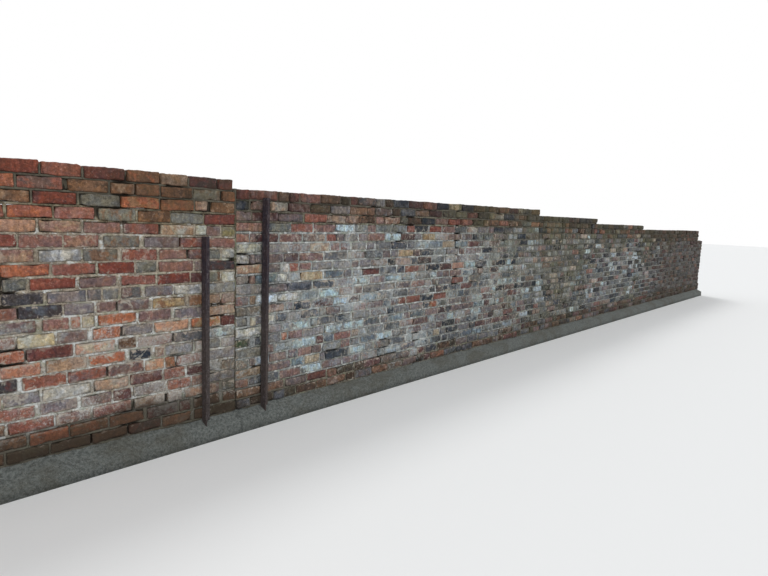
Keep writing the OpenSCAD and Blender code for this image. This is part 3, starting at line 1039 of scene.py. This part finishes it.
def weathered_and_shaded(nodes, colour, place, lime_colour, lime_share, seed):
    """Lays lime, moss, and soil with painted shade, over a colour where the mesh's attribute holds them."""
    lime, moss, soil_and_shade = nodes.split(nodes.attribute("weather_and_shade")["Vector"])
    blotches = nodes.noise(place, 7.0, 4.0, 0.60, 0.6)
    patches = nodes.noise(place, 13.0, 6.0, 0.75, 0.5)
    fine = nodes.noise(place, 52.0, 5.0, 0.75)
    lime_here = lime
    for value, gain in ((blotches, 1.3), (patches, 1.1), (fine, 1.7), (seed, 0.66)):
        lime_here = nodes.swing(lime_here, value, gain)
    uneven = nodes.over(lime_colour, PINK_LIME, patches, 0.42, 0.60, 0.7)
    uneven = nodes.times(uneven, nodes.step(fine, 0.35, 0.65, 0.82, 1.12))
    colour = nodes.over(colour, uneven, lime_here, 0.50, 0.95, lime_share)
    crisp = nodes.math("MULTIPLY_ADD", lime, 0.22, nodes.noise(place, 74.0, 6.0, 0.82, 0.3))
    crisp = nodes.math("MULTIPLY_ADD", seed, 0.08, crisp)
    colour = nodes.over(colour, CRISP_LIME, crisp, 0.71, 0.80, 0.60)
    wander = nodes.noise(nodes.scaled(place, (1.0, 1.0, 0.7)), 6.0, 3.0, 0.60, 1.2)
    ridge = nodes.math("ABSOLUTE", nodes.math("SUBTRACT", wander, 0.5))
    traces = nodes.step(ridge, 0.030, 0.010, 0.0, 0.55)
    for value, low, high in ((blotches, 0.48, 0.58), (lime, 0.15, 0.40), (fine, 0.40, 0.55)):
        traces = nodes.math("MULTIPLY", traces, nodes.step(value, low, high))
    colour = nodes.mix(traces, colour, PALE_TRACE)
    drips = nodes.noise(nodes.scaled(place, (23.0, 23.0, 2.6)), 1.0, 5.0, 0.72)
    dripped = nodes.times(colour, nodes.over(DRIP_DARK, DRIP_LIGHT, drips, 0.38, 0.62))
    colour = nodes.over(colour, dripped, moss, 0.15, 0.45, 0.85)
    moss_here = nodes.swing(nodes.swing(moss, patches, 1.8), seed, 0.6)
    colour = nodes.over(colour, MOSS, moss_here, 0.30, 0.90, 0.46)
    # Soil colour, which also paints shade where the soil channel carries painted shade.
    return nodes.over(colour, SOIL_AND_SHADE, nodes.swing(soil_and_shade, patches, 0.9), 0.20, 1.05, 0.78)


def brick_material(name, lime_colour, lime_share, streak_share, grain_share, speck_scale):
    """A brick's own tone and stain, with its grain, runs, specks, pits and lime along its edges."""
    nodes = Nodes(name)
    tone = nodes.attribute("tone")["Color"]
    stain = nodes.attribute("stain")
    rim, seed, smear = nodes.split(nodes.attribute("grain")["Vector"])
    place = nodes.place()
    own = nodes.own(place, seed)
    blot = nodes.noise(own, 12.0, 4.0, 0.65, 0.5)
    drift = nodes.noise(own, 15.0, 4.0, 0.65)
    mottle = nodes.noise(own, 46.0, 6.0, 0.74, 0.3)
    specks = nodes.noise(own, speck_scale, 5.0, 0.75)
    pits = nodes.cells(own, 66.0)
    pores = nodes.noise(own, 130.0, 3.0, 0.7)
    runs = nodes.noise(nodes.scaled(place, (62.0, 62.0, 7.0)), 1.0, 4.0, 0.65)
    blotched = nodes.math("MULTIPLY", nodes.step(blot, 0.46, 0.58), stain["Alpha"])
    colour = nodes.mix(blotched, tone, stain["Color"])
    colour = nodes.over(nodes.times(colour, COOL), nodes.times(colour, WARM), drift, 0.42, 0.58)
    mottled = nodes.times(colour, nodes.step(mottle, 0.35, 0.65, 0.60, 1.30))
    colour = nodes.mix(grain_share, colour, mottled)
    streaked = nodes.times(colour, nodes.step(runs, 0.35, 0.65, 0.55, 1.35))
    colour = nodes.mix(streak_share, colour, streaked)
    lighter = nodes.mix(0.22, nodes.times(colour, BLEACHED), PALE_SPECK)
    colour = nodes.over(colour, lighter, specks, 0.55, 0.66, 0.70 * grain_share)
    colour = nodes.over(colour, DARK_PIT, pits, 0.26, 0.06, 0.55 * grain_share)
    colour = nodes.over(colour, DARK_PIT, pores, 0.42, 0.32, 0.50)
    lime = nodes.split(nodes.attribute("weather_and_shade")["Vector"])[0]
    edge = nodes.math("MULTIPLY_ADD", nodes.noise(place, 30.0, 5.0, 0.75), 0.12, rim)
    edge = nodes.math("MULTIPLY_ADD", lime, -0.022, edge)
    smeared = nodes.math("MULTIPLY", nodes.step(edge, 0.0575, 0.0465, 0.0, 0.95), smear)
    colour = nodes.mix(smeared, colour, SMEAR)
    colour = weathered_and_shaded(nodes, colour, place, lime_colour, lime_share, seed)
    height = nodes.math("MULTIPLY_ADD", pores, 0.5, mottle)
    height = nodes.math("ADD", height, nodes.step(pits, 0.0, 0.25, -0.5, 0.0))
    nodes.bump(height, 0.004)
    return nodes.finish(colour, nodes.step(mottle, 0.3, 0.7, 0.82, 0.96))


def mortar_material(name):
    """Lime mortar by its name in MORTARS, with sand, crumbs, patches and shaded open joints."""
    light, shade, lime_colour, lime_share, pale_share = MORTARS[name]
    nodes = Nodes(f"{name}_mortar")
    place = nodes.place()
    broad = nodes.noise(place, 5.5, 5.0, 0.65, 0.4)
    pale = nodes.noise(place, 16.0, 5.0, 0.72, 0.4)
    green = nodes.noise(nodes.scaled(place, (1.0, 1.0, 1.6)), 9.0, 4.0, 0.65)
    crumbs = nodes.noise(place, 55.0, 5.0, 0.80)
    mottle = nodes.noise(place, 34.0, 6.0, 0.78)
    sand = nodes.noise(place, 110.0, 4.0, 0.7)
    colour = nodes.over(light, shade, mottle, 0.40, 0.62)
    colour = nodes.over(colour, shade, broad, 0.50, 0.66, 0.7)
    colour = weathered_and_shaded(nodes, colour, place, lime_colour, lime_share, MORTAR_SEED)
    lime, moss, soil_and_shade = nodes.split(nodes.attribute("weather_and_shade")["Vector"])
    depth = nodes.split(nodes.attribute("grain")["Vector"])[0]
    for top, value, low, high, share in (
        (PALE_MORTAR, nodes.math("MULTIPLY_ADD", lime, 0.16, pale), 0.58, 0.67, pale_share),
        (GREEN_MORTAR, green, 0.52, 0.62, 0.45),
        (CRUMB, crumbs, 0.56, 0.68, 0.65),
        (DARK_PIT, sand, 0.56, 0.70, 0.60),
        # grime over moss and soil, which also paints shade where the soil channel carries it
        (GRIME_AND_SHADE, nodes.math("ADD", moss, soil_and_shade), 0.32, 0.70, 0.78),
        # painted shade: mortar set deep, in open joints and the straight joint, darkened by its depth
        (PAINTED_JOINT_SHADE, depth, 0.010, 0.022, 0.85),
    ):
        colour = nodes.over(colour, top, value, low, high, share)
    nodes.bump(nodes.math("MULTIPLY_ADD", sand, 0.6, mottle), 0.005)
    return nodes.finish(colour, 0.93)


def concrete_material():
    """Rough concrete with pale stones, dark sand and damp patches."""
    nodes = Nodes("rough_concrete")
    place = nodes.place()
    broad = nodes.noise(place, 3.5, 5.0, 0.6, 0.4)
    mottle = nodes.noise(place, 48.0, 6.0, 0.8)
    stones = nodes.cells(place, 75.0)
    sand = nodes.noise(place, 180.0, 4.0, 0.7)
    colour = nodes.over(CONCRETE_DARK, CONCRETE_LIGHT, mottle, 0.36, 0.64)
    colour = nodes.over(colour, CONCRETE_DAMP, broad, 0.44, 0.68, 0.55)
    colour = nodes.over(colour, CONCRETE_STONE, stones, 0.26, 0.08, 0.45)
    colour = nodes.over(colour, CONCRETE_SAND, sand, 0.54, 0.70, 0.50)
    height = nodes.math("ADD", mottle, nodes.step(stones, 0.3, 0.0, 0.0, 0.5))
    nodes.bump(nodes.math("MULTIPLY_ADD", sand, 0.5, height), 0.006)
    return nodes.finish(colour, nodes.step(mottle, 0.3, 0.7, 0.85, 0.97))


def iron_material():
    """Dark scaling iron with rust runs and scuffs, browner towards the ground."""
    nodes = Nodes("rusty_iron")
    place = nodes.place()
    scale = nodes.noise(place, 24.0, 7.0, 0.7, 0.5)
    flakes = nodes.noise(place, 90.0, 5.0, 0.7)
    scuffs = nodes.noise(nodes.scaled(place, (1.0, 1.0, 0.4)), 65.0, 6.0, 0.75)
    runs = nodes.noise(nodes.scaled(place, (60.0, 60.0, 3.0)), 1.0, 4.0, 0.6)
    colour = nodes.over(IRON_DARK, IRON_WARM, scale, 0.40, 0.62)
    colour = nodes.over(colour, IRON_RUST, nodes.split(place)[2], 1.35, 0.60, 0.7)
    colour = nodes.over(colour, IRON_FLAKE, flakes, 0.50, 0.68, 0.7)
    colour = nodes.over(colour, IRON_RUN, runs, 0.58, 0.74, 0.4)
    colour = nodes.over(colour, IRON_SCUFF, scuffs, 0.52, 0.64, 0.62)
    nodes.bump(nodes.math("MULTIPLY_ADD", flakes, 0.6, scale), 0.003)
    nodes.put(nodes.shader.inputs["Metallic"], 0.25)
    return nodes.finish(colour, nodes.step(flakes, 0.3, 0.7, 0.62, 0.9))


def footing_piece(name, s0, s1, material):
    """Rough concrete strip: a worn section carried along the wall."""
    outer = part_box(name)[1][1]
    half_section = [
        (outer, 0.0), (outer, LEDGE_EDGE / 2), (outer, LEDGE_EDGE),
        ((outer + PLINTH_HALF) / 2, (LEDGE_TOP + LEDGE_EDGE) / 2), (PLINTH_HALF, LEDGE_TOP),
        (PLINTH_HALF - SEAT_SLOPE, FOOTING_TOP),
    ]
    section = [(-y, z) for y, z in half_section] + half_section[::-1]
    count = int((s1 - s0) / STRIP_STEP) + 1
    s = np.linspace(s0, s1, count)
    rings = np.empty((count, len(section), 3))
    for n, (y, z) in enumerate(section):
        rings[:, n, 0] = s + JOINT_X
        rings[:, n, 1] = y
        rings[:, n, 2] = z + (bed_rise(s) if z == FOOTING_TOP else 0)
    points = rings.reshape(-1, 3)
    rough = sum(share * smooth_noise(points, scale, seed) for share, scale, seed in STRIP_ROUGHNESS)
    onto = np.clip(points[:, 2] / 0.05, 0, 1)
    seat = points[:, 2] > LEDGE_TOP + 0.005
    points[:, 1] -= np.sign(points[:, 1]) * (0.006 + 0.008 * rough) * onto
    points[:, 2] += np.where(seat, 0, 0.009 * rough * onto)
    shell = Shell()
    shell.add(points, ring_faces(count, len(section)), MORTAR_TONE)
    shell.make(f"{name}_concrete", material, "concrete", name)


def straight_joint_piece(material):
    """Mortar set back in the straight joint, rough down its length."""
    low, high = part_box("straight_joint_mortar")
    z = np.linspace(low[2], high[2], FILL_RINGS)
    shell = Shell()
    for way in (-1, 1):
        face = np.stack([np.full(FILL_RINGS, JOINT_X), np.full(FILL_RINGS, way * WALL_HALF), z], axis=1)
        depth = 0.010 + 0.006 * smooth_noise(face, 9.0, 61) + 0.004 * smooth_noise(face, 31.0, 62)
        add_tube(shell, face, way, WALL_HALF, depth, JOINT_HALF + FILL_LAP, 0, FILL_SECTION, 0.3)
    shell.make("straight_joint_fill", material, "mortar", "straight_joint_mortar")


def build_wall():
    """Makes every piece that stands in for a node, and gives the posts their iron."""
    shells = {}
    for spans_of in (near_spans, far_spans):
        for course in range(COURSES):
            for name, _, _ in spans_of(course):
                shells.setdefault(name, (Shell(), Shell()))
    lay_stretch(True, shells, 7)
    lay_stretch(False, shells, 11)
    brick_looks = {
        "near": brick_material("near_brick_face", NEAR_LIME, 0.50, 0.28, 0.90, 70.0),
        "far": brick_material("far_brick_face", FAR_LIME, 0.62, 0.50, 1.0, 42.0),
    }
    mortar_looks = {name: mortar_material(name) for name in MORTARS}
    for name, (bricks, mortar) in shells.items():
        stretch = "near" if name.startswith("near") else "far"
        kind = "brown" if "upper" in name or "top" in name or "plinth" in name else "lime"
        bricks.make(f"{name}_bricks", brick_looks[stretch], f"{stretch}_brick", name)
        mortar.make(f"{name}_mortar", mortar_looks[f"{stretch}_{kind}"], "mortar", name)
    concrete = concrete_material()
    footing_piece("near_footing", -NEAR_LEN, 0.0, concrete)
    footing_piece("far_footing", 0.0, FAR_LEN, concrete)
    straight_joint_piece(mortar_looks["joint"])
    iron = iron_material()
    for name in ("short_post", "tall_post"):
        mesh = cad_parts[name].data
        mesh.materials.clear()
        mesh.materials.append(iron)


def build_stage():
    """Pale floor, white background and soft light."""
    bpy.ops.mesh.primitive_plane_add(size=120.0, location=(0, 0, 0))
    floor = bpy.context.object
    floor.name = "floor"
    material = bpy.data.materials.new("pale_floor")
    material.use_nodes = True
    shader = material.node_tree.nodes["Principled BSDF"]
    shader.inputs["Base Color"].default_value = (0.82, 0.82, 0.81, 1)
    shader.inputs["Roughness"].default_value = 0.9
    floor.data.materials.append(material)

    scene = bpy.context.scene
    world = bpy.data.worlds.new("studio")
    scene.world = world
    world.use_nodes = True
    tree = world.node_tree
    tree.nodes.clear()

    def join(kind, *sources):
        """Adds a node with its inputs linked in order."""
        node = tree.nodes.new(f"ShaderNode{kind}")
        for source, target in zip(sources, node.inputs):
            tree.links.new(source, target)
        return node

    def background(colour, strength):
        node = join("Background")
        node.inputs[0].default_value = colour
        node.inputs[1].default_value = strength
        return node.outputs[0]

    def either(a, b):
        node = join("Math", a, b)
        node.operation = "MAXIMUM"
        return node.outputs[0]

    rays = join("LightPath").outputs
    seen = either(either(rays["Is Camera Ray"], rays["Is Glossy Ray"]), rays["Is Transmission Ray"])
    light = background((0.93, 0.96, 1.0, 1), 0.55)
    white = background((1, 1, 1, 1), 1.0)
    join("OutputWorld", join("MixShader", seen, light, white).outputs[0])

    def sun(name, direction, strength, angle):
        lamp = bpy.data.lights.new(name, "SUN")
        lamp.energy = strength
        lamp.angle = math.radians(angle)
        holder = bpy.data.objects.new(name, lamp)
        holder.rotation_euler = Vector(direction).to_track_quat("-Z", "Y").to_euler()
        scene.collection.objects.link(holder)

    sun("soft_key", (0.35, 0.75, -1.0), 1.15, 35)
    sun("back_light", (-0.3, -0.6, -1.0), 0.9, 20)
    scene.view_settings.view_transform = "Standard"


def build_camera():
    """The camera that took the photograph, at its own place and tilt."""
    data = bpy.data.cameras.new("photo_camera")
    data.sensor_fit = "HORIZONTAL"
    data.sensor_width = SENSOR_MM
    data.lens = FOCAL_PX / PHOTO_W * SENSOR_MM
    data.clip_end = 200.0
    camera = bpy.data.objects.new("photo_camera", data)
    dx, dy, dz = CAMERA_FROM_JOINT
    place = Matrix.Translation((JOINT_X + dx, dy - WALL_HALF, FOOTING_TOP + dz))
    heading = Matrix.Rotation(CAMERA_YAW - math.pi / 2, 4, "Z")
    tilt = Matrix.Rotation(math.pi / 2 - CAMERA_PITCH, 4, "X")
    camera.matrix_world = place @ heading @ tilt @ Matrix.Rotation(CAMERA_ROLL, 4, "Z")
    bpy.context.scene.collection.objects.link(camera)
    bpy.context.scene.camera = camera


build_camera()
build_stage()
build_wall()
